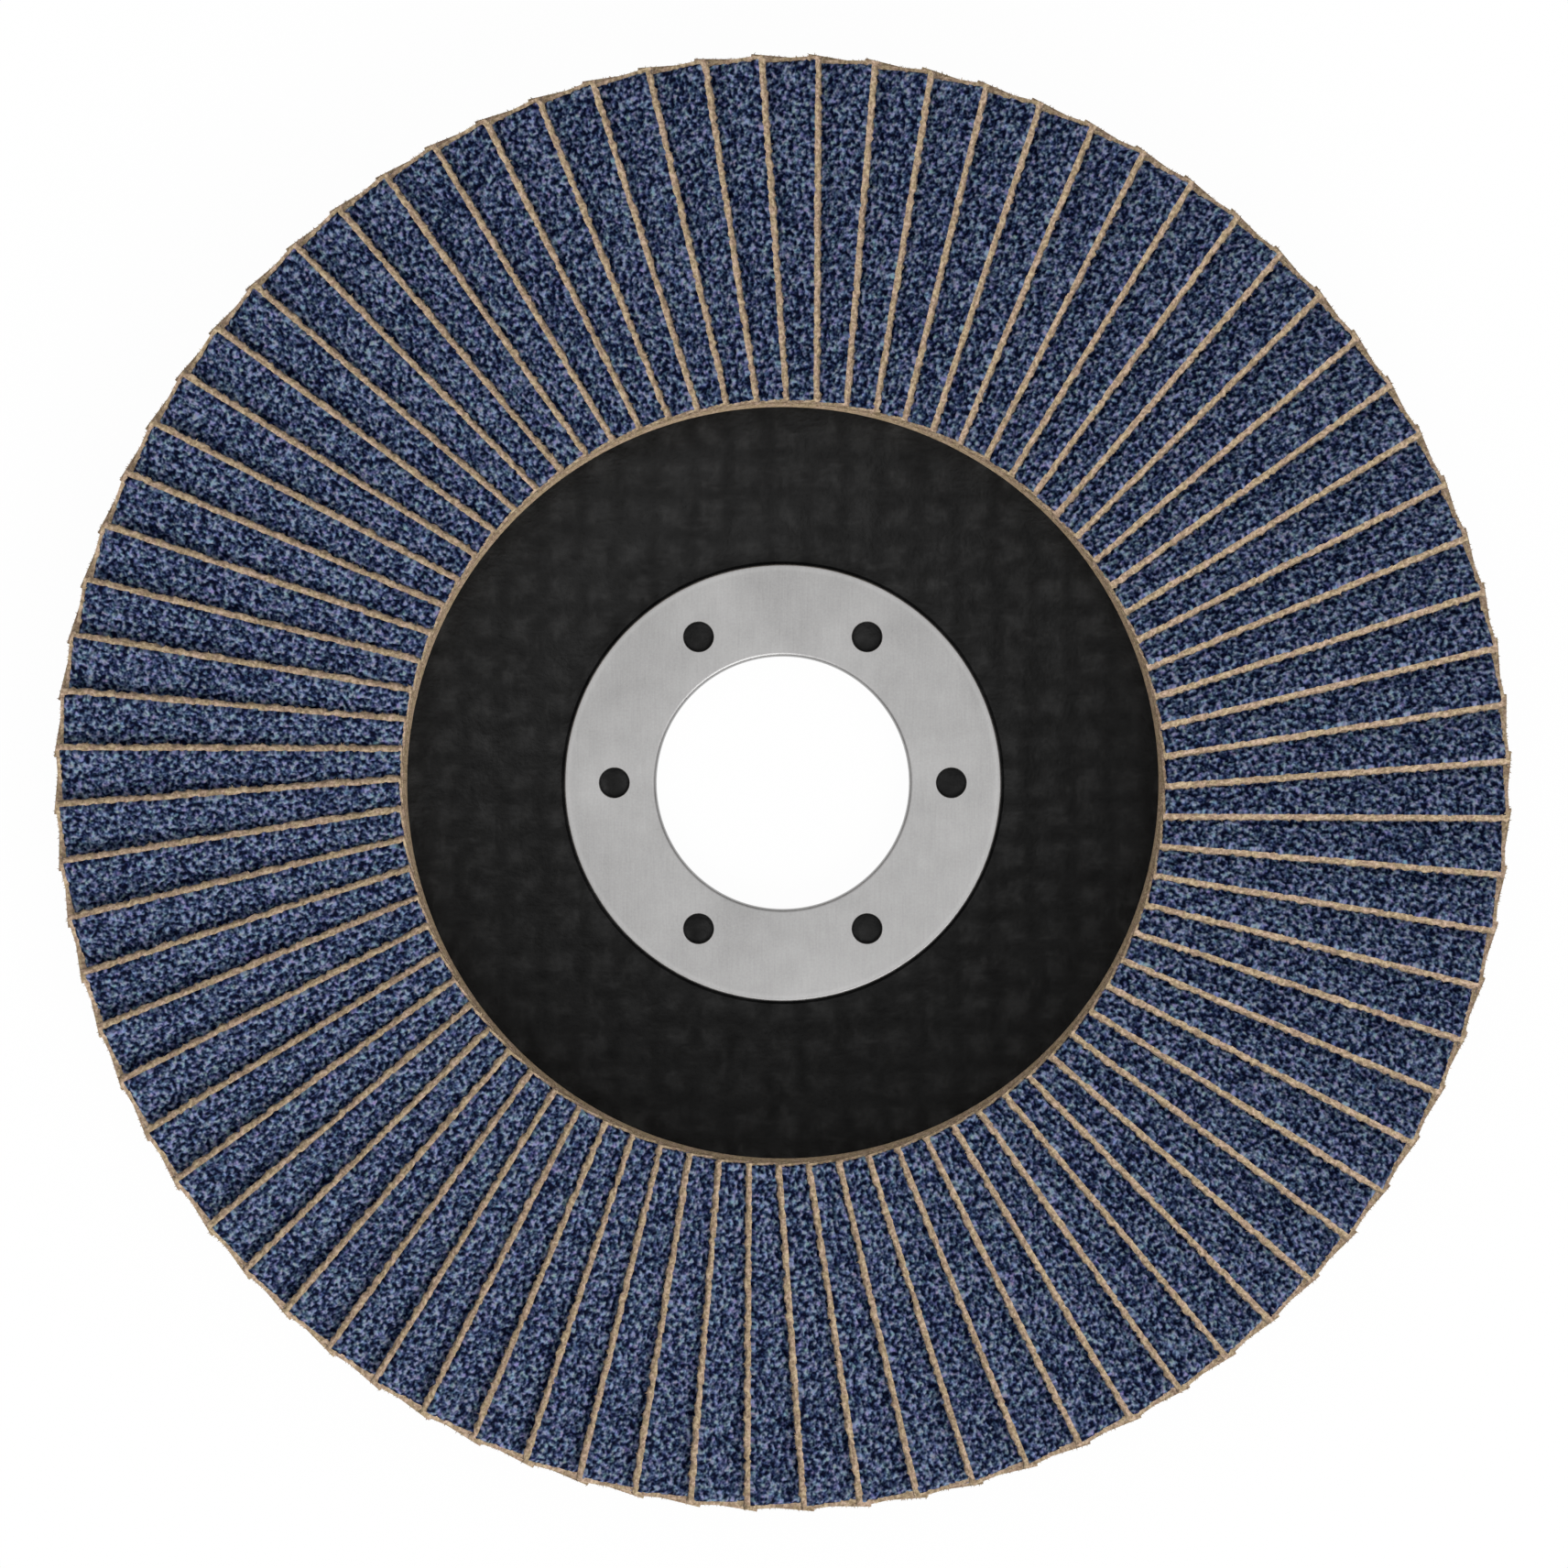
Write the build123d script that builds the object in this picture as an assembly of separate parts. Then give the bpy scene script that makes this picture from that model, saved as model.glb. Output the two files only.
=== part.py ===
from build123d import *
import os
from math import asin, cos, degrees, radians, sin, tan

# Flap disc for a right-angle grinder, 125 mm nominal. Flaps of coated abrasive cloth lie
# one over the next, like louvres, with their feet in a ring of cured adhesive on a dished
# glass-fibre plate. A pressed steel ring lines the plate's centre and is clinched behind it.
# Frame: +Z runs along the bore towards the abrasive face. The origin lies on the bore's
# axis, in the flat back face of the hub, where the machine's flange seats.

# Steel hub ring, pressed from sheet
bore_diameter = 22.23
ring_gauge = 0.8
ring_width = 8.03  # from the bore's wall to the ring's rim
ring_stand = 0.4  # height of the ring's face above the hub's front face
ring_bevel = 0.25
lip_reach = 1.6  # the lip rolled outwards behind the plate stands this far off the collar
lip_inset = 0.1  # the lip lies this far inside the hub's back face
key_hole_count = 6
key_hole_diameter = 2.6
key_hole_reach = 3.63  # from the bore's wall to the holes' centres

# Backing plate, moulded in one gauge all over
plate_gauge = 3.0
plate_bevel = 0.8
plate_inset = 8.0  # how far the flaps' outer ends stand out past the plate's rim
cone_angle = 22.2  # slope of the dish between its hub and its flange
bend_radius = 2.5  # hollow side of each bend
hub_land = 1.05  # flat of the hub beside the ring's rebate
flange_land = 0.12  # flat of the flange inside the adhesive
seat_gap = 0.05  # radial clearance between the ring's collar and the plate
rebate_gap = 0.3  # open groove round the ring and round its lip

# Flaps of coated cloth, cut to one rectangle
flap_count = 80
flaps_per_node = 2
flap_length = 29.15
flap_width = 17.4
flap_thickness = 1.03
flap_play = 0.08  # air between neighbours at their inner ends
flap_inner_end = 32.35  # from the axis to the inner ends, measured along a flap
flap_offset = 2.62  # the free edge runs beside the radius by this much
first_flap_turn = -0.28  # angle of the first flap's length from +X

# Adhesive bed
bed_floor = 0.3  # adhesive under the feet of the flaps
bed_grip = 0.85  # how deep the feet stand in it
bed_setback = 0.15  # from the flaps' inner ends out to its inner edge
bed_margin = 0.7  # from its outer edge out to the plate's rim

# Radii and levels that follow from these
bore = bore_diameter / 2
collar = bore + ring_gauge
lip = collar + lip_reach
ring_rim = bore + ring_width
ring_front = plate_gauge + ring_stand
ring_seat = ring_front - ring_gauge
lip_seat = lip_inset + ring_gauge
full_bend_radius = bend_radius + plate_gauge
bend_shift = tan(radians(cone_angle) / 2)  # tangent length of a bend, per unit of radius
bed_inner = flap_inner_end + bed_setback
hub_edge = ring_rim + rebate_gap + hub_land
flange_edge = bed_inner - flange_land - full_bend_radius * bend_shift
flange_front = plate_gauge + (flange_edge - hub_edge) * tan(radians(cone_angle))
flange_back = flange_front - plate_gauge
plate_rim = flap_inner_end + flap_length - plate_inset
flap_pitch = 360 / flap_count
flap_tilt = degrees(asin((flap_thickness + flap_play) / (flap_inner_end * sin(radians(flap_pitch)))))
flap_height = flap_width * sin(radians(flap_tilt)) + flap_thickness * cos(radians(flap_tilt))
face_level = flange_front + bed_floor + flap_height


def corners(profile, points):
    """The profile's corners that lie at the given points."""
    return [profile.vertices().sort_by_distance(point)[0] for point in points]


def turned(profile):
    """Turn a profile of radius and height about the bore's axis."""
    return revolve(Plane.XZ * profile, Axis.Z)


def make_hub_ring():
    """Flange, collar and rolled lip in one pressing, with the key holes punched."""
    profile = make_face(
        Polyline(
            (bore, ring_front),
            (ring_rim, ring_front),
            (ring_rim, ring_seat),
            (collar, ring_seat),
            (collar, lip_seat),
            (lip, lip_seat),
            (lip, lip_inset),
            (bore, lip_inset),
            close=True,
        )
    )
    free_edges = [(bore, ring_front), (ring_rim, ring_front), (bore, lip_inset)]
    ring = turned(chamfer(corners(profile, free_edges), ring_bevel))
    hole = Cylinder(key_hole_diameter / 2, ring_gauge, align=(Align.CENTER, Align.CENTER, Align.MIN))
    return ring - Pos(Z=ring_seat) * PolarLocations(bore + key_hole_reach, key_hole_count) * hole


def make_backing_plate():
    """Hub, cone and flange, rebated at the front for the ring and at the back for its lip."""
    profile = make_face(
        Polyline(
            (collar + seat_gap, ring_seat),
            (ring_rim + rebate_gap, ring_seat),
            (ring_rim + rebate_gap, plate_gauge),
            (hub_edge, plate_gauge),
            (flange_edge, flange_front),
            (plate_rim, flange_front),
            (plate_rim, flange_back),
            (flange_edge + plate_gauge * bend_shift, flange_back),
            (hub_edge + plate_gauge * bend_shift, 0),
            (lip + rebate_gap, 0),
            (lip + rebate_gap, lip_seat),
            (collar + seat_gap, lip_seat),
            close=True,
        )
    )
    hollow_bends = [(hub_edge, plate_gauge), (flange_edge + plate_gauge * bend_shift, flange_back)]
    full_bends = [(flange_edge, flange_front), (hub_edge + plate_gauge * bend_shift, 0)]
    profile = fillet(corners(profile, hollow_bends), bend_radius)
    profile = fillet(corners(profile, full_bends), full_bend_radius)
    profile = chamfer(corners(profile, [(plate_rim, flange_back)]), plate_bevel)
    return turned(profile)


def make_flap(number):
    """One flap: abrasive side up, free edge on the clockwise side, foot tucked under."""
    cloth = Box(flap_length, flap_width, flap_thickness, align=(Align.MIN, Align.MIN, Align.MAX))
    leaned = Pos(flap_inner_end, -flap_offset, face_level) * Rot(X=-flap_tilt) * cloth
    return Rot(Z=first_flap_turn + number * flap_pitch) * leaned


def make_adhesive_bed(flaps):
    """A ring that runs straight from flap to flap outside, grooved by the flaps' feet."""
    outline = RegularPolygon(plate_rim - bed_margin, flap_count) - Circle(bed_inner)
    bed = Pos(Z=flange_front) * extrude(outline, bed_floor + bed_grip)
    return bed.cut(*flaps)


flaps = [make_flap(number) for number in range(flap_count)]
pieces = {
    "hub_ring": make_hub_ring(),
    "backing_plate": make_backing_plate(),
    "adhesive_bed": make_adhesive_bed(flaps),
}
for first in range(0, flap_count, flaps_per_node):
    name = f"flap_pair_{first // flaps_per_node + 1:02d}"
    pieces[name] = Compound(children=flaps[first : first + flaps_per_node])

os.makedirs("parts", exist_ok=True)
for name, piece in pieces.items():
    export_step(piece, f"parts/{name}.step")
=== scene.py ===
from math import atan2, cos, pi, radians, sin, tan

import bmesh
import bpy
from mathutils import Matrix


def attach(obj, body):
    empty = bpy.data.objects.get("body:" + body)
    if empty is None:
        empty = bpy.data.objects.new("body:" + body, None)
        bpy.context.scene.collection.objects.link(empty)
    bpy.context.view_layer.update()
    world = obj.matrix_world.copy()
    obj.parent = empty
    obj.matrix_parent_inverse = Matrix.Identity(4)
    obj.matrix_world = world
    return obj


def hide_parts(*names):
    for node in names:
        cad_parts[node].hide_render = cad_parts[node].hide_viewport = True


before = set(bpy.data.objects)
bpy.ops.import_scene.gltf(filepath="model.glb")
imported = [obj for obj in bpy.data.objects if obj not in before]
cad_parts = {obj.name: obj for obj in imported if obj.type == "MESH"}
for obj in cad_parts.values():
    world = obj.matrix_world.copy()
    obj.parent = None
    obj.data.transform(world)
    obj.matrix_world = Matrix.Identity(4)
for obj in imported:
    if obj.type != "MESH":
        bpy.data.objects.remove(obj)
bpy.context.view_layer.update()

# ---------------------------------------------------------------------------------------
# Backing plate. Black phenolic resin, pressed hot over layers of open glass-fibre mesh, in
# one gauge all over: a flat hub, a cone and a flat flange. The mesh shows faintly through
# the resin on both faces, and pegs of resin pressed up the ring's key holes lock the ring.

mm = 0.001
plate_profile = [  # radius, height and bend radius of each corner, in mm
    (11.965, 2.6, 0), (19.345, 2.6, 0), (19.345, 3.0, 0.08), (20.495, 3.0, 2.5),
    (31.3009, 7.4098, 5.5), (53.5, 7.4098, 0.25), (53.5, 5.21, 0.3), (52.7, 4.4098, 0.3),
    (31.8895, 4.4098, 2.5), (21.0836, 0, 5.5), (13.815, 0, 0.15), (13.815, 0.9, 0),
    (11.965, 0.9, 0),
]
bend_chords = 7  # for each radian of a bend
sharp_edge = 38  # degrees: a sharper edge than this isn't shaded smooth
mesh_pitch = 3.3
mesh_relief = 0.07
colour_drift, relief_drift = 2.6, 1.4  # how far the mesh strays from square
front_relief = (20.2, 21.2, 31.6, 32.4)  # radii in mm: the relief starts, is full, fades, ends
back_relief = (14.4, 15.4, 51.4, 52.6)
key_count = 6
key_reach = 14.745
key_radius = 1.27
key_foot, key_top = 2.62, 3.12
key_dome = 0.14
key_spin = 0.9  # radians that each key is turned past the one before
plate_steps, key_steps = 400, 20


def rounded(corners):
    """The closed outline through these corners, each bend as a run of short chords."""
    outline = []
    for place, (r, z, bend) in enumerate(corners):
        if not bend:
            outline.append((r, z))
            continue
        before, after = corners[place - 1], corners[(place + 1) % len(corners)]
        way_in = atan2(z - before[1], r - before[0])
        turn = (atan2(after[1] - z, after[0] - r) - way_in + pi) % (2 * pi) - pi
        reach = bend * tan(abs(turn) / 2)
        side = 1 if turn > 0 else -1
        start = (r - reach * cos(way_in), z - reach * sin(way_in))
        centre = (start[0] - side * bend * sin(way_in), start[1] + side * bend * cos(way_in))
        chords = max(2, round(abs(turn) * bend_chords))
        for chord in range(chords + 1):
            angle = way_in + turn * chord / chords - side * pi / 2
            outline.append((centre[0] + bend * cos(angle), centre[1] + bend * sin(angle)))
    return outline


def divided(outline, longest):
    """Split the outline's long runs, each to the length that longest gives for its middle."""
    fine = []
    for (r, z), (next_r, next_z) in zip(outline, outline[1:] + outline[:1]):
        run = ((next_r - r) ** 2 + (next_z - z) ** 2) ** 0.5
        parts = max(1, round(run / longest((r + next_r) / 2, (z + next_z) / 2)))
        fine += [(r + (next_r - r) * n / parts, z + (next_z - z) * n / parts) for n in range(parts)]
    return fine


def turned(name, outline, steps):
    """A closed mesh from an outline of radius and height in mm, turned about the bore's axis."""
    count = len(outline)
    points, faces = [], []
    for step in range(steps):
        angle = 2 * pi * step / steps
        points += [(r * mm * cos(angle), r * mm * sin(angle), z * mm) for r, z in outline]
        after = (step + 1) % steps
        for n in range(count):
            m = (n + 1) % count
            faces.append((step * count + n, step * count + m, after * count + m, after * count + n))
    mesh = bpy.data.meshes.new(name)
    mesh.from_pydata(points, [], faces)
    outward(mesh)
    return mesh


def outward(mesh):
    """Turn every face of a closed mesh outwards and shade it smooth between its sharp edges."""
    work = bmesh.new()
    work.from_mesh(mesh)
    bmesh.ops.remove_doubles(work, verts=work.verts, dist=1e-7)
    bmesh.ops.recalc_face_normals(work, faces=work.faces)
    for face in work.faces:
        face.smooth = True
    for edge in work.edges:
        edge.smooth = edge.calc_face_angle(0) < radians(sharp_edge)
    work.to_mesh(mesh)
    work.free()


def put(tree, kind, feeds=None, **settings):
    """Add a node; feeds gives its inputs a value or the output that feeds them."""
    node = tree.nodes.new(kind)
    for name, value in settings.items():
        setattr(node, name, value)
    for place, value in (feeds or {}).items():
        if isinstance(value, bpy.types.NodeSocket):
            tree.links.new(value, node.inputs[place])
        else:
            node.inputs[place].default_value = value
    return node


def sum_of(tree, how, *terms):
    """One Math node: how names the operation, terms are its inputs."""
    return put(tree, "ShaderNodeMath", dict(enumerate(terms)), operation=how).outputs[0]


def shift(tree, how, *terms):
    """One Vector Math node; a scale is the term at place 3."""
    feeds = {3 if how == "SCALE" and n == 1 else n: term for n, term in enumerate(terms)}
    node = put(tree, "ShaderNodeVectorMath", feeds, operation=how)
    return node.outputs[1 if how in ("LENGTH", "DISTANCE", "DOT_PRODUCT") else 0]


def between(tree, value, low, high, start=0.0, end=1.0):
    """A smooth step: start below low, end above high."""
    feeds = {0: value, 1: low, 2: high, 3: start, 4: end}
    return put(tree, "ShaderNodeMapRange", feeds, interpolation_type="SMOOTHSTEP").outputs[0]


def grain_noise(tree, place, scale, detail=2.0, rough=0.5):
    """Soft noise with this many lumps per unit of place, from 0 to 1."""
    feeds = {"Vector": place, "Scale": scale, "Detail": detail, "Roughness": rough}
    return put(tree, "ShaderNodeTexNoise", feeds).outputs[0]


def strands(tree, x, y, pitch, wander):
    """Height of an open square mesh at x, y: 1 on top of a strand and 0 in a window."""
    narrowing = 1.6
    heights = []
    for value in (x, y):
        pitches = sum_of(tree, "DIVIDE", sum_of(tree, "ADD", value, wander), pitch)
        wave = sum_of(tree, "COSINE", sum_of(tree, "MULTIPLY", pitches, 2 * pi))
        wave = sum_of(tree, "MULTIPLY_ADD", wave, 0.5, 0.5)
        heights.append(sum_of(tree, "POWER", wave, narrowing))
    return sum_of(tree, "MAXIMUM", *heights)


def node_tree(name, *sockets):
    """A Geometry Nodes tree with a mesh input and output and these named inputs."""
    tree = bpy.data.node_groups.new(name, "GeometryNodeTree")
    tree.interface.new_socket("Mesh", in_out="INPUT", socket_type="NodeSocketGeometry")
    tree.interface.new_socket("Mesh", in_out="OUTPUT", socket_type="NodeSocketGeometry")
    for socket, kind in sockets:
        tree.interface.new_socket(socket, in_out="INPUT", socket_type="NodeSocket" + kind)
    return tree, tree.nodes.new("NodeGroupInput").outputs


def from_axis(tree, x, y):
    """Distance of a place from the bore's axis."""
    return shift(tree, "LENGTH", put(tree, "ShaderNodeCombineXYZ", {0: x, 1: y}).outputs[0])


def swollen(tree, mesh, normal, depth):
    """Move every point of a mesh this far along its normal."""
    feeds = {0: mesh, "Offset": shift(tree, "SCALE", normal, depth)}
    return put(tree, "GeometryNodeSetPosition", feeds).outputs[0]


def circled(tree, count, reach, part, **placing):
    """This many copies of an object on a circle round the bore's axis."""
    places = put(tree, "GeometryNodeMeshCircle", {"Vertices": count, "Radius": reach}).outputs[0]
    copy = put(tree, "GeometryNodeObjectInfo", {"Object": part, "As Instance": True})
    feeds = {"Points": places, "Instance": copy.outputs["Geometry"], **placing}
    return put(tree, "GeometryNodeInstanceOnPoints", feeds).outputs[0]


def joined(tree, *meshes):
    """These meshes as one."""
    node = tree.nodes.new("GeometryNodeJoinGeometry")
    for mesh in meshes:
        tree.links.new(mesh, node.inputs[0])
    return node.outputs[0]


def finished(tree, mesh, material):
    """Real geometry in place of instances, with its material."""
    solid = put(tree, "GeometryNodeRealizeInstances", {0: mesh}).outputs[0]
    return put(tree, "GeometryNodeSetMaterial", {0: solid, "Material": material}).outputs[0]


def worked(name, blank, tree, sizes):
    """Run a blank mesh through a tree with these sizes, and keep the result as a plain mesh."""
    piece = bpy.data.objects.new(name, blank)
    modifier = piece.modifiers.new(tree.name, "NODES")
    modifier.node_group = tree
    for socket in tree.interface.items_tree:
        if socket.in_out == "INPUT" and socket.name in sizes:
            modifier[socket.identifier] = sizes[socket.name]
    bpy.context.scene.collection.objects.link(piece)
    ready = bpy.context.evaluated_depsgraph_get()
    result = bpy.data.meshes.new_from_object(
        piece.evaluated_get(ready), preserve_all_data_layers=True, depsgraph=ready,
    )
    piece.modifiers.clear()
    piece.data = result
    result.name = name
    return piece


def surface(name, roughness, **values):
    """A new material; returns it, its tree, its shader and its object coordinates in mm."""
    material = bpy.data.materials.new(name)
    material.use_nodes = True
    tree = material.node_tree
    shader = tree.nodes["Principled BSDF"]
    shader.inputs["Roughness"].default_value = roughness
    for socket, value in values.items():
        shader.inputs[socket.replace("_", " ")].default_value = value
    place = put(tree, "ShaderNodeTexCoord").outputs["Object"]
    return material, tree, shader, shift(tree, "SCALE", place, 1000.0)


def colours(tree, value, *stops):
    """A colour ramp of (place, red, green, blue) stops."""
    node = put(tree, "ShaderNodeValToRGB", {0: value})
    ramp = node.color_ramp
    while len(ramp.elements) < len(stops):
        ramp.elements.new(0.5)
    for element, (place, *colour) in zip(ramp.elements, stops):
        element.position, element.color = place, (*colour, 1.0)
    return node.outputs[0]


def bumped(tree, shader, height, depth, strength=1.0):
    """Raise the shader's surface by height times depth in mm."""
    feeds = {"Height": height, "Distance": depth * mm, "Strength": strength}
    tree.links.new(put(tree, "ShaderNodeBump", feeds).outputs[0], shader.inputs["Normal"])


black_resin, tree, shader, place = surface("black phenolic resin", 0.7, Specular_IOR_Level=0.2)
streak_share, speck_share, blotch_share, weave_share = 0.6, 0.22, 0.35, -0.18
resin_lift = 0.045
x, y, _ = put(tree, "ShaderNodeSeparateXYZ", {0: place}).outputs
drift = sum_of(tree, "MULTIPLY", grain_noise(tree, place, 0.15), colour_drift)
weave = strands(tree, x, y, mesh_pitch, drift)
specks = grain_noise(tree, place, 2.4, 3.0, 0.6)
blotch = grain_noise(tree, place, 0.25, 2.0, 0.6)
streaks, turns = [], []
for value, stretch in ((x, (0.38, 1.0, 0.5)), (y, (1.0, 0.38, 0.5))):
    along_strand = put(tree, "ShaderNodeMapping", {0: place, "Scale": stretch}).outputs[0]
    streaks.append(grain_noise(tree, along_strand, 1.0, 2.0, 0.6))
    turn = sum_of(tree, "MULTIPLY", sum_of(tree, "ADD", value, drift), pi / mesh_pitch)
    turns.append(sum_of(tree, "COSINE", turn))
over = between(tree, sum_of(tree, "MULTIPLY", *turns), -0.4, 0.4)
streak = put(tree, "ShaderNodeMix", {0: over, 2: streaks[0], 3: streaks[1]}).outputs[0]
tone = sum_of(tree, "MULTIPLY", blotch, blotch_share)
tone = sum_of(tree, "MULTIPLY_ADD", specks, speck_share, tone)
tone = sum_of(tree, "MULTIPLY_ADD", streak, streak_share, tone)
tone = sum_of(tree, "MULTIPLY_ADD", weave, weave_share, sum_of(tree, "ADD", tone, resin_lift))
blacks = [(0.36, 0.0004, 0.0004, 0.0004), (0.55, 0.005, 0.005, 0.005), (0.78, 0.018, 0.018, 0.018)]
tree.links.new(colours(tree, tone, *blacks), shader.inputs["Base Color"])
tree.links.new(between(tree, blotch, 0.3, 0.7, 0.62, 0.78), shader.inputs["Roughness"])
bumped(tree, shader, sum_of(tree, "MULTIPLY_ADD", streak, 1.2, specks), 0.12)


def zone(tree, radius, starts, full, fades, ends):
    """1 over a ring of the plate and 0 beside it, with a smooth rise and fall at these radii."""
    rise = between(tree, radius, starts * mm, full * mm)
    return sum_of(tree, "MULTIPLY", rise, between(tree, radius, fades * mm, ends * mm, 1.0, 0.0))


tree, given = node_tree(
    "Moulded plate", ("Mesh pitch", "Float"), ("Relief", "Float"), ("Key", "Object"),
    ("Key count", "Int"), ("Key reach", "Float"), ("Resin", "Material"),
)
position = tree.nodes.new("GeometryNodeInputPosition").outputs[0]
normal = tree.nodes.new("GeometryNodeInputNormal").outputs[0]
x, y, z = put(tree, "ShaderNodeSeparateXYZ", {0: position}).outputs
facing = put(tree, "ShaderNodeSeparateXYZ", {0: normal}).outputs[2]
radius = from_axis(tree, x, y)
upward = sum_of(tree, "GREATER_THAN", facing, 0.0)
sides = {0: upward, 1: zone(tree, radius, *back_relief), 2: zone(tree, radius, *front_relief)}
reach = put(tree, "GeometryNodeSwitch", sides, input_type="FLOAT").outputs[0]
drift = sum_of(tree, "MULTIPLY", grain_noise(tree, position, 120.0), relief_drift * mm)
weave = strands(tree, x, y, given["Mesh pitch"], drift)
lump_share = 0.9
lumps = grain_noise(tree, position, 900.0, 3.0, 0.6)
depth = sum_of(tree, "MULTIPLY_ADD", lumps, lump_share, weave)
depth = sum_of(tree, "SUBTRACT", depth, 1 + lump_share)
depth = sum_of(tree, "MULTIPLY", sum_of(tree, "MULTIPLY", depth, given["Relief"]), reach)
moulded = swollen(tree, given["Mesh"], normal, depth)
number = tree.nodes.new("GeometryNodeInputIndex").outputs[0]
spin = sum_of(tree, "MULTIPLY", number, key_spin)
spin = put(tree, "ShaderNodeCombineXYZ", {2: spin}).outputs[0]
keys = circled(tree, given["Key count"], given["Key reach"], given["Key"], Rotation=spin)
put(tree, "NodeGroupOutput", {0: finished(tree, joined(tree, moulded, keys), given["Resin"])})


def plate_cell(r, z):
    """Cell length over the plate: fine where the front shows, coarse under the flaps."""
    if r < 20.6 or z > 6.9 and r > 33:
        return 2.5
    return 0.45 if z > 2.2 + 0.42 * max(0, r - 21) else 0.75


key_outline = [(key_radius * n / 5, key_top - key_dome * (n / 5) ** 3) for n in range(6)]
key_outline += [(key_radius, key_foot), (0, key_foot)]
key = bpy.data.objects.new("resin_key", turned("resin_key", key_outline, key_steps))
bpy.context.scene.collection.objects.link(key)
plate_blank = turned("plate_blank", divided(rounded(plate_profile), plate_cell), plate_steps)
backing_plate = worked("backing_plate_moulded", plate_blank, tree, {
    "Mesh pitch": mesh_pitch * mm, "Relief": mesh_relief * mm, "Key": key,
    "Key count": key_count, "Key reach": key_reach * mm, "Resin": black_resin,
})
bpy.data.objects.remove(key)
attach(backing_plate, "root")
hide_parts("backing_plate")

# ---------------------------------------------------------------------------------------
# Hub ring. Pressed from 0.8 mm steel sheet and zinc plated to a dull pale grey: a flat
# flange with six punched key holes, a collar that lines the bore, and a lip rolled outwards
# behind the plate, which clinches the two together.

ring_profile = [  # radius, height and bend radius of each corner, in mm
    (11.115, 3.4, 0.30), (19.145, 3.4, 0.20), (19.145, 2.6, 0.05), (11.915, 2.6, 0),
    (11.915, 0.9, 0), (13.515, 0.9, 0.1), (13.515, 0.1, 0.1), (11.115, 0.1, 0.3),
]
punch_profile = [
    (0, 2.4), (1.3, 2.4), (1.3, 3.31), (1.318, 3.36), (1.36, 3.4), (1.36, 3.5), (0, 3.5),
]
# radii in mm of a painted highlight just inside the flange's outer edge: it starts, is full, fades,
# ends
painted_highlight_band = (18.45, 18.75, 18.8, 18.95)
painted_highlight_lift = 0.10
ring_steps, punch_steps = 224, 40

zinc, tree, shader, place = surface("dull zinc plate on steel", 0.42, Metallic=1.0)
cloud = grain_noise(tree, place, 0.16, 4.0, 0.6)
stretched = put(tree, "ShaderNodeMapping", {0: place, "Scale": (7.0, 0.35, 7.0)}).outputs[0]
brushing = grain_noise(tree, stretched, 1.0, 4.0, 0.7)
pits = grain_noise(tree, place, 5.0, 2.0, 0.6)
mottle = sum_of(tree, "MULTIPLY_ADD", cloud, 0.5, sum_of(tree, "MULTIPLY", pits, 0.25))
mottle = sum_of(tree, "MULTIPLY_ADD", brushing, 0.25, mottle)
x, y, _ = put(tree, "ShaderNodeSeparateXYZ", {0: place}).outputs
radius = from_axis(tree, x, y)
# Painted highlight: the flange's colour is lighter in a thin band just inside its outer edge.
starts, full, fades, ends = painted_highlight_band
faded = between(tree, radius, fades, ends)
painted_rim_highlight = sum_of(tree, "SUBTRACT", between(tree, radius, starts, full), faded)
mottle = sum_of(tree, "MULTIPLY_ADD", painted_rim_highlight, painted_highlight_lift, mottle)
greys = [(0.3, 0.280, 0.276, 0.274), (0.7, 0.450, 0.446, 0.444)]
tree.links.new(colours(tree, mottle, *greys), shader.inputs["Base Color"])
tree.links.new(between(tree, mottle, 0.3, 0.7, 0.40, 0.52), shader.inputs["Roughness"])
bumped(tree, shader, mottle, 0.01, 0.6)

tree, given = node_tree(
    "Punched ring", ("Punch", "Object"), ("Holes", "Int"), ("Hole reach", "Float"),
    ("Steel", "Material"),
)
punches = circled(tree, given["Holes"], given["Hole reach"], given["Punch"])
feeds = {0: given["Mesh"], 1: put(tree, "GeometryNodeRealizeInstances", {0: punches}).outputs[0]}
cut = put(tree, "GeometryNodeMeshBoolean", feeds, operation="DIFFERENCE", solver="EXACT")
put(tree, "NodeGroupOutput", {0: finished(tree, cut.outputs[0], given["Steel"])})

punch = bpy.data.objects.new("punch", turned("punch", punch_profile, punch_steps))
bpy.context.scene.collection.objects.link(punch)
ring_blank = turned("ring_blank", rounded(ring_profile), ring_steps)
hub_ring = worked("hub_ring_pressed", ring_blank, tree, {
    "Punch": punch, "Holes": key_count, "Hole reach": key_reach * mm, "Steel": zinc,
})
bpy.data.objects.remove(punch)
outward(hub_ring.data)
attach(hub_ring, "root")
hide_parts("hub_ring")

# ---------------------------------------------------------------------------------------
# Adhesive bed. Tan-brown epoxy, cast as a thick bead on the plate's flange. The feet of the
# flaps are pressed into it while it is wet. It creeps up between their inner ends and sets.

bed_profile = [  # radius, height and bend radius of each corner, in mm
    (32.56, 7.38, 0), (32.56, 8.7, 0.3), (32.66, 10.5, 0.3), (32.98, 11.1, 0.3),
    (33.5, 10.9, 0.3), (34.6, 8.5, 0.3), (52.0, 8.5, 0.6), (52.75, 7.9, 0.4), (52.95, 7.38, 0),
]
bed_unevenness = 0.13
bed_steps = 440


def tinted(tree, colour, tint, share):
    """Lay this share of a tint over a colour, which keeps its lights and darks."""
    feeds = {0: share, 6: colour, 7: tint}
    overlay = put(tree, "ShaderNodeMix", feeds, data_type="RGBA", blend_type="OVERLAY")
    return overlay.outputs[2]


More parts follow.
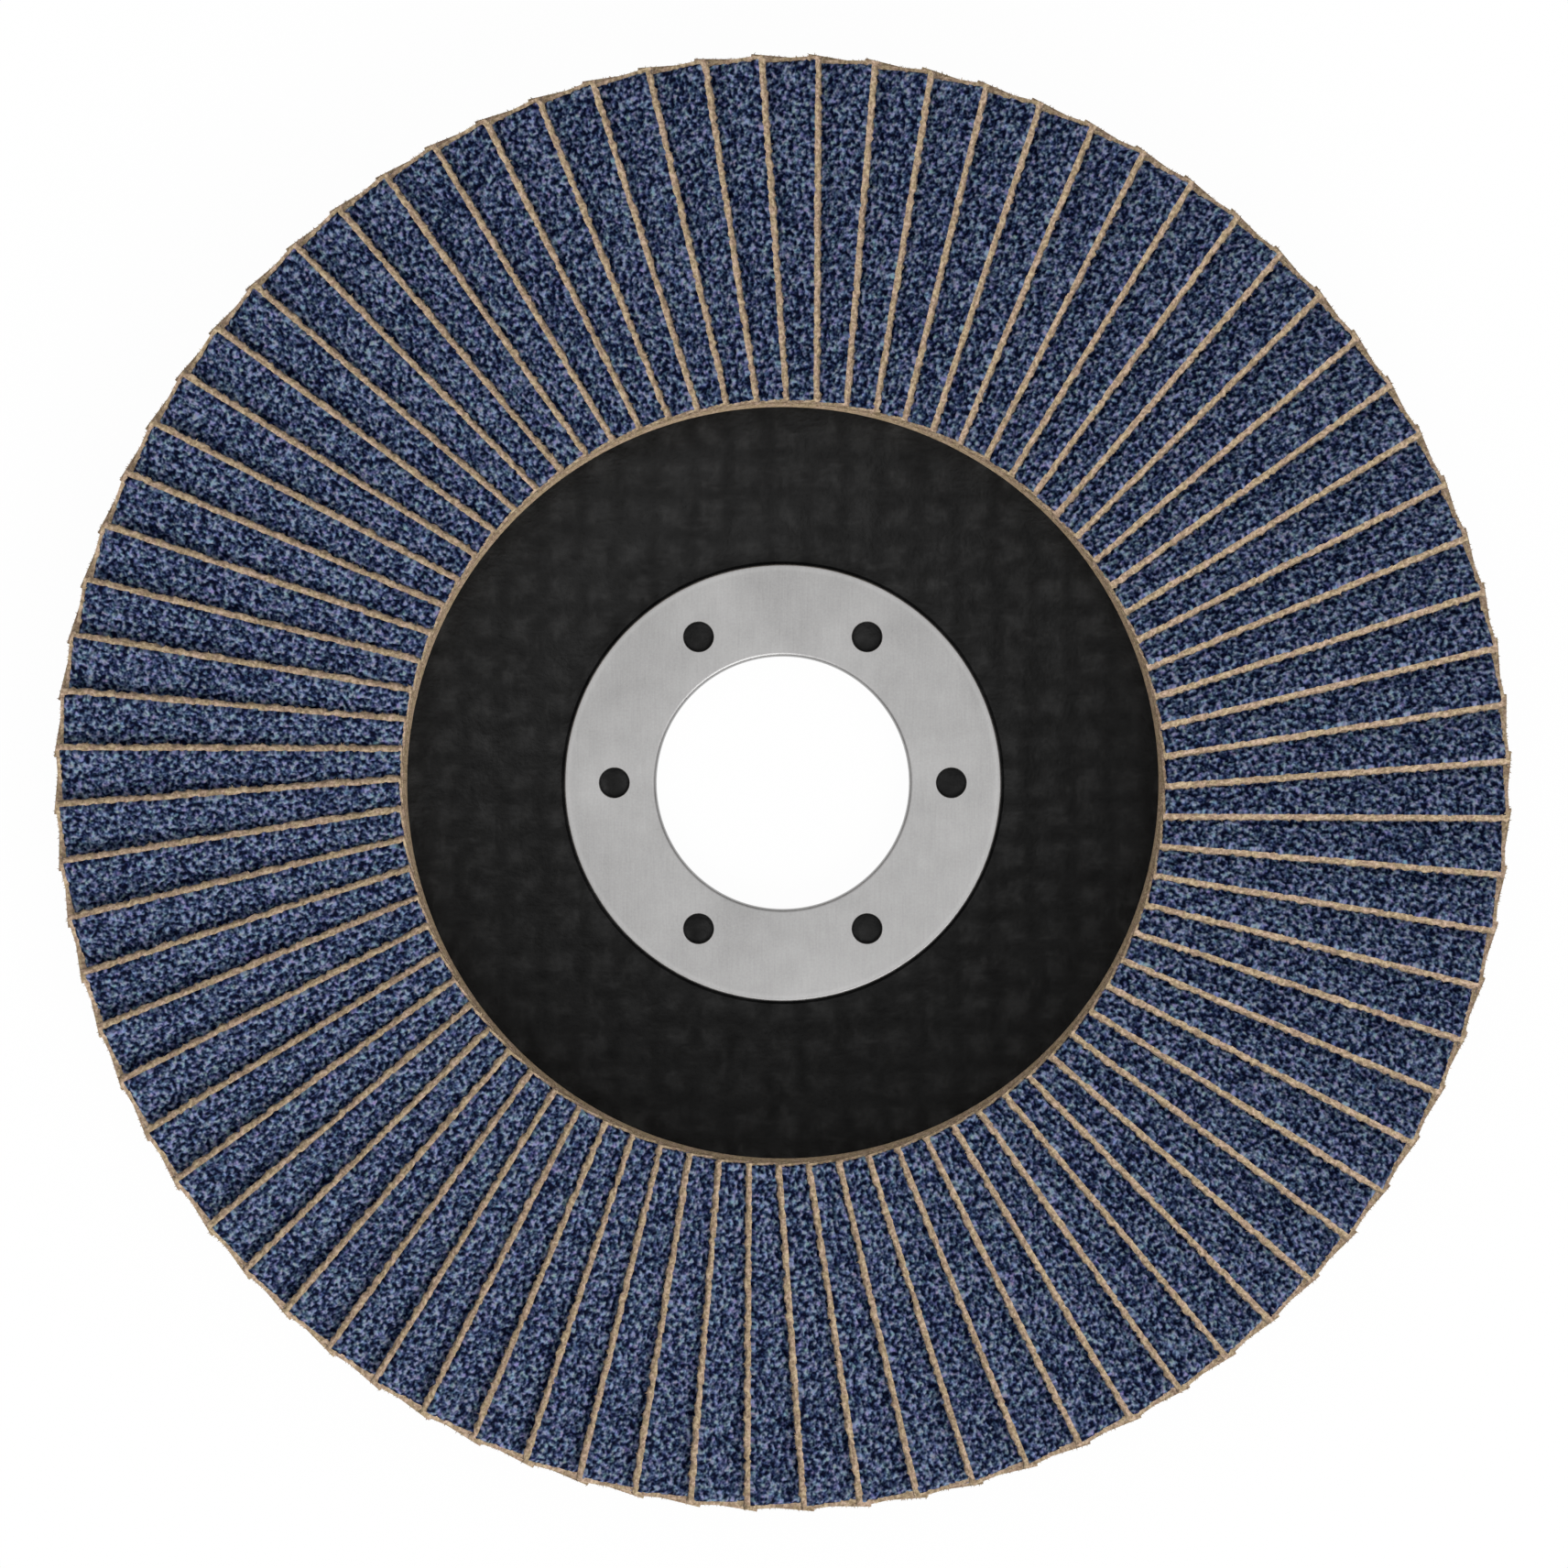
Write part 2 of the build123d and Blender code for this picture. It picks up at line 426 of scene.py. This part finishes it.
tan_adhesive, tree, shader, place = surface("cured tan adhesive", 0.5, Specular_IOR_Level=0.4)
cloud = grain_noise(tree, place, 0.9, 2.0, 0.5)
grit = grain_noise(tree, place, 3.2, 2.0, 0.6)
tans = [(0.34, 0.27, 0.203, 0.132), (0.5, 0.50, 0.378, 0.252), (0.66, 0.72, 0.565, 0.400)]
warmth = colours(tree, cloud, (0.38, 0.54, 0.53, 0.43), (0.62, 0.54, 0.48, 0.52))
tree.links.new(tinted(tree, colours(tree, grit, *tans), warmth, 0.5), shader.inputs["Base Color"])
tree.links.new(between(tree, cloud, 0.3, 0.7, 0.45, 0.62), shader.inputs["Roughness"])
bumped(tree, shader, grit, 0.2)

tree, given = node_tree("Cast bead", ("Unevenness", "Float"), ("Adhesive", "Material"))
position = tree.nodes.new("GeometryNodeInputPosition").outputs[0]
normal = tree.nodes.new("GeometryNodeInputNormal").outputs[0]
z = put(tree, "ShaderNodeSeparateXYZ", {0: position}).outputs[2]
above_plate = between(tree, z, 7.5 * mm, 7.9 * mm)
lumps = sum_of(tree, "SUBTRACT", grain_noise(tree, position, 700.0, 3.0, 0.55), 0.5)
creep = sum_of(tree, "MULTIPLY", lumps, above_plate)
depth = sum_of(tree, "MULTIPLY", sum_of(tree, "MULTIPLY", creep, 2.0), given["Unevenness"])
cast = swollen(tree, given["Mesh"], normal, depth)
put(tree, "NodeGroupOutput", {0: finished(tree, cast, given["Adhesive"])})


def bed_cell(r, z):
    """Cell length over the bead: coarse where the flaps' feet and the flange hide it."""
    return 0.4 if r < 33.5 or r > 51.5 else 3.0


bed_blank = turned("bed_blank", divided(rounded(bed_profile), bed_cell), bed_steps)
adhesive_bed = worked("adhesive_bead", bed_blank, tree, {
    "Unevenness": bed_unevenness * mm, "Adhesive": tan_adhesive,
})
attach(adhesive_bed, "root")
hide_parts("adhesive_bed")

# ---------------------------------------------------------------------------------------
# Flaps. Eighty rectangles sheared from abrasive cloth: stiff tan polyester-cotton, and a coat
# of blue-sized grain that breaks away beside the cut edges, where the cloth wears and frays.
# Each leans on the next, its foot in the adhesive and its free edge beside the radius.

flap_count = 80
flap_length = 29.15
fringe = 0.26
laid_length = flap_length + fringe
flap_width = 17.4
flap_thickness = 1.03
flap_inner_end = 32.35
flap_offset = 2.62
flap_lean = 25.9334
flap_turn = -0.28
face_level = 16.2456
own_stretch = (37.3, 3.1)  # mm from one flap's place on the roll of cloth to the next one's
cloth_thickness = 0.60
cloth_top = cloth_thickness - flap_thickness  # heights count from the grain's tips
cloth_rows = [0, 0.16, 0.32, 0.5, 1.5, 3.5, 6.0, flap_width]
low_row = -0.92  # one more row of points, low on the cut faces
worn_edge = {0: 0.40, 0.16: 0.17, 0.32: 0.05}  # how far each row of the cloth is worn down
cut_wander, wander_middle = 0.75, 0.41
fibre_length = 0.2
fibre_radius = 0.045
fibre_bend = 0.9
fibre_sizes = (0.4, 1.3)
fibres_per_mm2 = 7.5
grain_scale = 2.55
grain_gap, grain_tip = 0.36, 0.64  # the noise's values in the gaps and on the tips
grain_depth = 0.22
grain_sunk = 0.12  # how deep the grain's slab stands in the cloth
bare_edge, bare_outer_end, bare_inner_end = 0.44, 0.35, 0.22  # cloth left bare beside the cuts
bare_depth = 0.08  # how far under the cloth's top the grain's slab ducks there
chip_reach, chip_slope = 0.30, 0.05
strip_length = 28.7
strip_rows, strip_columns = 16, 92
strip_width, strip_spread = 2.75, 2.75  # what shows of a flap at its inner end, and how it widens


def sheet(columns, rows, low, high, wall_rows=()):
    """Points and faces of a closed slab: a grid on top, a plain underside, straight walls."""
    points = [(x, y, high) for x, ys in zip(columns, rows) for y in ys]
    across_count = len(rows[0])
    faces = []
    for i in range(len(columns) - 1):
        for j in range(across_count - 1):
            a = i * across_count + j
            faces.append((a, a + across_count, a + across_count + 1, a + 1))
    rim = [i * across_count for i in range(len(columns))]
    rim += [(len(columns) - 1) * across_count + j for j in range(1, across_count)]
    rim += [i * across_count + across_count - 1 for i in range(len(columns) - 2, -1, -1)]
    rim += range(across_count - 2, 0, -1)
    levels = [rim]
    for level in [*wall_rows, low]:
        levels.append(range(len(points), len(points) + len(rim)))
        points += [(points[n][0], points[n][1], level) for n in rim]
    for upper, lower in zip(levels, levels[1:]):
        for n in range(len(rim)):
            m = (n + 1) % len(rim)
            faces.append((upper[n], lower[n], lower[m], upper[m]))
    faces.append(tuple(reversed(levels[-1])))
    return points, faces


inner_columns = [0, 0.09, 0.18, 0.27, 0.36]
outer_columns = [laid_length - reach for reach in (0.27, 0.2, 0.13, 0.06, 0)]
along = inner_columns + [
    inner_columns[-1] + strip_length * n / strip_columns for n in range(1, strip_columns + 1)
] + outer_columns
rows = [cloth_rows] * len(along)
cloth, cloth_faces = sheet(along, rows, -flap_thickness, cloth_top, [low_row])
for n in range(len(along) * len(cloth_rows)):
    x, y, z = cloth[n]
    cloth[n] = (x, y, z - worn_edge.get(y, 0))
near = [0.3, 0.38, 0.44, 0.5, 0.58]
far = [10.0, 13.5, flap_width - 0.25]
grain_rows = []
for x in along:
    shown = strip_width + strip_spread * x / flap_length
    strip = [near[-1] + (shown - near[-1]) * n / strip_rows for n in range(1, strip_rows + 1)]
    grain_rows.append(near + strip + [shown + 0.6, shown + 1.6] + far)
grain_along = [min(max(x, 0.01), laid_length - 0.01) for x in along]
grain, grain_faces = sheet(grain_along, grain_rows, cloth_top - grain_sunk, 0.0)
first = len(cloth)
flap_mesh = bpy.data.meshes.new("flap_blank")
flap_mesh.from_pydata(
    [(x * mm, y * mm, z * mm) for x, y, z in cloth + grain], [],
    cloth_faces + [tuple(n + first for n in face) for face in grain_faces],
)
outward(flap_mesh)


def mark(name, domain, values):
    """Store true or false for each point or face of the flap's blank."""
    flap_mesh.attributes.new(name, "BOOLEAN", domain).data.foreach_set("value", values)


top_end = first + len(along) * len(grain_rows[0])
mark("grain_face", "FACE", [False] * len(cloth_faces) + [True] * len(grain_faces))
mark("grain_top", "POINT", [first <= n < top_end for n in range(len(flap_mesh.vertices))])
mark("cut_face", "FACE", [
    n < len(cloth_faces) and abs(face.normal.z) < 0.5 for n, face in enumerate(flap_mesh.polygons)
])


def speckle(tree, place):
    """Height of the grain at a place on the cloth in mm, from 0 to 1."""
    feeds = {"Vector": place, "Rotation": (0.6, 0.5, 0.4)}
    askew = put(tree, "ShaderNodeVectorRotate", feeds, rotation_type="EULER_XYZ").outputs[0]
    return grain_noise(tree, askew, grain_scale, 1.0)


blue_grain, tree, shader, _ = surface("blue abrasive grain", 0.7, Specular_IOR_Level=0.06)
place = put(tree, "ShaderNodeAttribute", attribute_name="cloth_place").outputs["Vector"]
lumps = speckle(tree, place)
patches = sum_of(tree, "SUBTRACT", grain_noise(tree, place, 0.5, 2.0, 0.5), 0.5)
finer = grain_noise(tree, place, 6.0, 2.0, 0.6)
tone = sum_of(tree, "ADD", lumps, sum_of(tree, "MULTIPLY", patches, 0.07))
# The grain's blues follow the same noise as its height, darkest in the low gaps: the grain's own
# tone, with painted shade in the gaps.
grain_blues_gap_shade = [
    (0.337, 0.0002, 0.0012, 0.0110), (0.420, 0.0055, 0.0125, 0.0400),
    (0.464, 0.0175, 0.0285, 0.0660), (0.509, 0.0375, 0.0545, 0.1060),
    (0.554, 0.0640, 0.0860, 0.1500), (0.598, 0.0950, 0.1220, 0.2000),
    (0.676, 0.1900, 0.2280, 0.3300),
]
hues = put(tree, "ShaderNodeTexNoise", {"Vector": place, "Scale": 2.2, "Detail": 1.0}).outputs[1]
tree.links.new(tinted(tree, colours(tree, tone, *grain_blues_gap_shade), hues, 0.45), shader.inputs["Base Color"])
bumped(tree, shader, sum_of(tree, "MULTIPLY_ADD", finer, 0.4, lumps), 0.12)

tan_cloth, tree, shader, _ = surface("tan backing cloth", 0.75, Specular_IOR_Level=0.2)
place = put(tree, "ShaderNodeAttribute", attribute_name="cloth_place").outputs["Vector"]
x, y, z = put(tree, "ShaderNodeSeparateXYZ", {0: place}).outputs
from_cut = put(tree, "ShaderNodeAttribute", attribute_name="from_free_edge").outputs["Fac"]
weave = strands(tree, x, y, 0.42, 0.0)
fuzz = grain_noise(tree, place, 3.2, 3.0, 0.6)
blotch = grain_noise(tree, place, 1.3, 1.0, 0.5)
tone = sum_of(tree, "MULTIPLY_ADD", weave, 0.02, fuzz)
tans = [(0.34, 0.185, 0.135, 0.088), (0.5, 0.32, 0.243, 0.163), (0.66, 0.51, 0.405, 0.294)]
warmth = colours(tree, blotch, (0.38, 0.54, 0.53, 0.43), (0.62, 0.56, 0.48, 0.52))
plain = tinted(tree, colours(tree, tone, *tans), warmth, 0.5)
painted_crevice_shade = (0.10, 0.078, 0.062, 1)  # painted shade, low on the free edge's cut face, in the crevice beside the next flap
# Painted shade: the free edge's cut face is darkened towards its foot, where it meets the next
# flap's grain.
free = sum_of(tree, "MAXIMUM", between(tree, z, -1.10, -0.72), between(tree, from_cut, 0.05, 0.4))
crevice_shaded = put(tree, "ShaderNodeMix", {0: free, 6: painted_crevice_shade, 7: plain}, data_type="RGBA").outputs[2]
tree.links.new(crevice_shaded, shader.inputs["Base Color"])
tree.links.new(between(tree, fuzz, 0.3, 0.7, 0.65, 0.85), shader.inputs["Roughness"])
bumped(tree, shader, tone, 0.10)

lengths = (
    "Inner end", "Offset", "Face level", "Length", "Cloth top", "Grain depth", "Bare edge",
    "Bare outer end", "Bare inner end", "Bare depth", "Chip reach", "Chip slope", "Cut wander",
    "Fibre length", "Fibre radius",
)
tree, given = node_tree(
    "Flaps laid round the disc", ("Flaps", "Int"), ("First flap", "Int"), ("Pitch", "Float"),
    ("First turn", "Float"), ("Lean", "Float"), *((length, "Float") for length in lengths),
    ("Fibres", "Float"), ("Cloth", "Material"), ("Grain", "Material"),
)


def written(tree, mesh, name, value, kind, domain="POINT"):
    """The mesh with this value written on its points, under this name."""
    feeds = {0: mesh, "Name": name, "Value": value}
    settings = {"data_type": kind, "domain": domain}
    return put(tree, "GeometryNodeStoreNamedAttribute", feeds, **settings).outputs[0]


def read(tree, name, kind):
    """The value that the mesh carries under this name."""
    return put(tree, "GeometryNodeInputNamedAttribute", {0: name}, data_type=kind).outputs[0]


# One copy of the blank for each flap, with its number written on it.
feeds = {"Count": given["Flaps"], "Offset": (0, 0, 0)}
feeds = {"Points": put(tree, "GeometryNodeMeshLine", feeds).outputs[0], "Instance": given["Mesh"]}
laid = put(tree, "GeometryNodeInstanceOnPoints", feeds).outputs[0]
index = tree.nodes.new("GeometryNodeInputIndex").outputs[0]
number = sum_of(tree, "ADD", index, given["First flap"])
numbered = written(tree, laid, "flap_number", number, "FLOAT", "INSTANCE")
loose = put(tree, "GeometryNodeRealizeInstances", {0: numbered}).outputs[0]
number = read(tree, "flap_number", "FLOAT")
position = tree.nodes.new("GeometryNodeInputPosition").outputs[0]
x, y, z = put(tree, "ShaderNodeSeparateXYZ", {0: position}).outputs

# A stretch of cloth of its own for each flap, so that no two carry the same grain.
own = put(tree, "ShaderNodeCombineXYZ", {
    n: sum_of(tree, "MULTIPLY", number, stretch) for n, stretch in enumerate(own_stretch)
}).outputs[0]
place = shift(tree, "ADD", shift(tree, "SCALE", position, 1000.0), own)
marked = written(tree, loose, "cloth_place", place, "FLOAT_VECTOR")
marked = written(tree, marked, "from_free_edge", sum_of(tree, "MULTIPLY", y, 1000.0), "FLOAT")
place = read(tree, "cloth_place", "FLOAT_VECTOR")

# Grain of uneven height, broken away in chips beside the cut edges.
height = between(tree, speckle(tree, place), grain_gap, grain_tip)
chips = sum_of(tree, "SUBTRACT", grain_noise(tree, place, 2.6, 2.0, 0.5), 0.5)
chips = sum_of(tree, "MULTIPLY", chips, given["Chip reach"])
from_end = sum_of(tree, "SUBTRACT", given["Length"], x)
edges = []
for distance, bare in ((y, "Bare edge"), (from_end, "Bare outer end"), (x, "Bare inner end")):
    edges.append(sum_of(tree, "ADD", sum_of(tree, "SUBTRACT", distance, given[bare]), chips))
inside = sum_of(tree, "MINIMUM", edges[0], sum_of(tree, "MINIMUM", edges[1], edges[2]))
slope = given["Chip slope"]
covered = between(tree, inside, sum_of(tree, "MULTIPLY", slope, -1.0), slope)
worn = sum_of(tree, "MULTIPLY", sum_of(tree, "SUBTRACT", height, 1.0), given["Grain depth"])
bare = sum_of(tree, "SUBTRACT", given["Cloth top"], given["Bare depth"])
level = put(tree, "ShaderNodeMapRange", {0: covered, 3: bare, 4: worn}).outputs[0]
grained = put(tree, "GeometryNodeSetPosition", {
    0: marked, "Selection": read(tree, "grain_top", "BOOLEAN"),
    "Position": put(tree, "ShaderNodeCombineXYZ", {0: x, 1: y, 2: level}).outputs[0],
}).outputs[0]

# The free edge wanders as the shears left it. Then the flap leans and turns to its place.
at_edge = sum_of(tree, "LESS_THAN", y, 0.01 * mm)
at_cut = sum_of(tree, "MULTIPLY", at_edge, sum_of(tree, "LESS_THAN", z, given["Cloth top"]))
wander = sum_of(tree, "SUBTRACT", grain_noise(tree, place, 2.9, 1.0, 0.5), wander_middle)
wander = sum_of(tree, "MULTIPLY", wander, given["Cut wander"])
wavy = put(tree, "ShaderNodeCombineXYZ", {1: sum_of(tree, "MULTIPLY", at_cut, wander)}).outputs[0]
grained = put(tree, "GeometryNodeSetPosition", {0: grained, "Offset": wavy}).outputs[0]
lean = sum_of(tree, "MULTIPLY", given["Lean"], -1.0)
feeds = {"Vector": position, "Angle": lean}
leaned = put(tree, "ShaderNodeVectorRotate", feeds, rotation_type="X_AXIS").outputs[0]
beside = sum_of(tree, "MULTIPLY", given["Offset"], -1.0)
reach = put(tree, "ShaderNodeCombineXYZ", {
    0: given["Inner end"], 1: beside, 2: given["Face level"],
}).outputs[0]
turn = sum_of(tree, "MULTIPLY_ADD", number, given["Pitch"], given["First turn"])
feeds = {"Vector": shift(tree, "ADD", leaned, reach), "Angle": turn}
round_axis = put(tree, "ShaderNodeVectorRotate", feeds, rotation_type="Z_AXIS").outputs[0]
seated = put(tree, "GeometryNodeSetPosition", {0: grained, "Position": round_axis}).outputs[0]
coloured = put(tree, "GeometryNodeSetMaterial", {
    0: finished(tree, seated, given["Cloth"]), "Selection": read(tree, "grain_face", "BOOLEAN"),
    "Material": given["Grain"],
}).outputs[0]

# Frayed fibres stand out of the cut faces of the cloth.
roots = put(tree, "GeometryNodeDistributePointsOnFaces", {
    "Mesh": seated, "Selection": read(tree, "cut_face", "BOOLEAN"),
    "Density": given["Fibres"], "Seed": given["First flap"],
}).outputs
fibre = put(tree, "GeometryNodeMeshCone", {
    "Vertices": 3, "Radius Top": 0.0, "Radius Bottom": given["Fibre radius"],
    "Depth": given["Fibre length"],
}).outputs[0]
feeds = {0: (-fibre_bend, -fibre_bend, 0.0), 1: (fibre_bend, fibre_bend, 2 * pi), "Seed": 3}
bend = put(tree, "FunctionNodeRandomValue", feeds, data_type="FLOAT_VECTOR").outputs[0]
feeds = {0: roots["Rotation"], 1: bend}
lie = put(tree, "FunctionNodeRotateRotation", feeds, rotation_space="LOCAL").outputs[0]
feeds = {2: fibre_sizes[0], 3: fibre_sizes[1], "Seed": 7}
size = put(tree, "FunctionNodeRandomValue", feeds).outputs[1]
fibres = put(tree, "GeometryNodeInstanceOnPoints", {
    "Points": roots["Points"], "Instance": fibre, "Rotation": lie, "Scale": size,
}).outputs[0]
frayed = finished(tree, fibres, given["Cloth"])
put(tree, "NodeGroupOutput", {0: joined(tree, coloured, frayed)})

for pair in range(flap_count // 2):
    flaps = worked(f"flaps_{pair + 1:02d}", flap_mesh, tree, {
        "Flaps": 2, "First flap": 2 * pair, "Pitch": radians(360 / flap_count),
        "First turn": radians(flap_turn), "Lean": radians(flap_lean),
        "Inner end": flap_inner_end * mm, "Offset": flap_offset * mm, "Face level": face_level * mm,
        "Length": laid_length * mm, "Cloth top": cloth_top * mm, "Grain depth": grain_depth * mm,
        "Bare edge": bare_edge * mm, "Bare outer end": bare_outer_end * mm,
        "Bare inner end": bare_inner_end * mm, "Bare depth": bare_depth * mm,
        "Chip reach": chip_reach * mm, "Chip slope": chip_slope * mm, "Cut wander": cut_wander * mm,
        "Fibre length": fibre_length * mm, "Fibre radius": fibre_radius * mm,
        "Fibres": fibres_per_mm2 / mm ** 2, "Cloth": tan_cloth, "Grain": blue_grain,
    })
    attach(flaps, "root")
    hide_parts(f"flap_pair_{pair + 1:02d}")

# ---------------------------------------------------------------------------------------
# Floor, lamps and camera. The disc lies on its back on a plain white sheet, under soft light
# from above that is a little stronger from the near side. The camera looks straight down.

half = 3  # metres
whiteness = 0.97  # of the sheet as it is seen; the rest of it keeps the shadow
paper_white = 0.82
sky_strength = 0.62
focal_length = 110.96
camera_place = (0.105, -0.11, 426.25)
sheet_corners = [(-half, -half, 0), (half, -half, 0), (half, half, 0), (-half, half, 0)]
floor_mesh = bpy.data.meshes.new("white_sheet")
floor_mesh.from_pydata(sheet_corners, [], [(0, 1, 2, 3)])
floor = bpy.data.objects.new("white_sheet", floor_mesh)
bpy.context.scene.collection.objects.link(floor)
white = bpy.data.materials.new("white paper")
white.use_nodes = True
tree = white.node_tree
tree.nodes.clear()
white_paint = (paper_white, paper_white, paper_white, 1)
paper = put(tree, "ShaderNodeBsdfDiffuse", {0: white_paint}).outputs[0]
glow = put(tree, "ShaderNodeEmission", {0: (1, 1, 1, 1), 1: 1.0}).outputs[0]
ray = put(tree, "ShaderNodeLightPath").outputs
mirrored = sum_of(tree, "MAXIMUM", ray["Is Glossy Ray"], ray["Is Transmission Ray"])
seen = sum_of(tree, "MAXIMUM", ray["Is Camera Ray"], mirrored)
shown = sum_of(tree, "MULTIPLY", seen, whiteness)
mix = put(tree, "ShaderNodeMixShader", {0: shown, 1: paper, 2: glow}).outputs[0]
put(tree, "ShaderNodeOutputMaterial", {0: mix})
floor_mesh.materials.append(white)

world = bpy.data.worlds.new("studio")
world.use_nodes = True
sky = world.node_tree.nodes["Background"].inputs
sky["Color"].default_value = (1.0, 1.0, 1.0, 1.0)
sky["Strength"].default_value = sky_strength
bpy.context.scene.world = world
for name, (x, y, z), size, power in (
    ("near softbox", (0.32, -0.84, 0.8), 0.8, 9.0),
    ("overhead softbox", (0.0, 0.0, 1.6), 2.4, 10.0),
):
    lamp = bpy.data.lights.new(name, "AREA")
    lamp.shape, lamp.size, lamp.energy = "SQUARE", size, power
    holder = bpy.data.objects.new(name, lamp)
    holder.location = (x, y, z)
    holder.rotation_euler = (-holder.location).to_track_quat("-Z", "Y").to_euler()
    bpy.context.scene.collection.objects.link(holder)

lens = bpy.data.cameras.new("camera")
lens.sensor_width = 36.0
lens.lens = focal_length
lens.clip_start = 0.01
camera = bpy.data.objects.new("camera", lens)
camera.location = [measure * mm for measure in camera_place]
bpy.context.scene.collection.objects.link(camera)
bpy.context.scene.camera = camera
bpy.context.scene.view_settings.view_transform = "Standard"
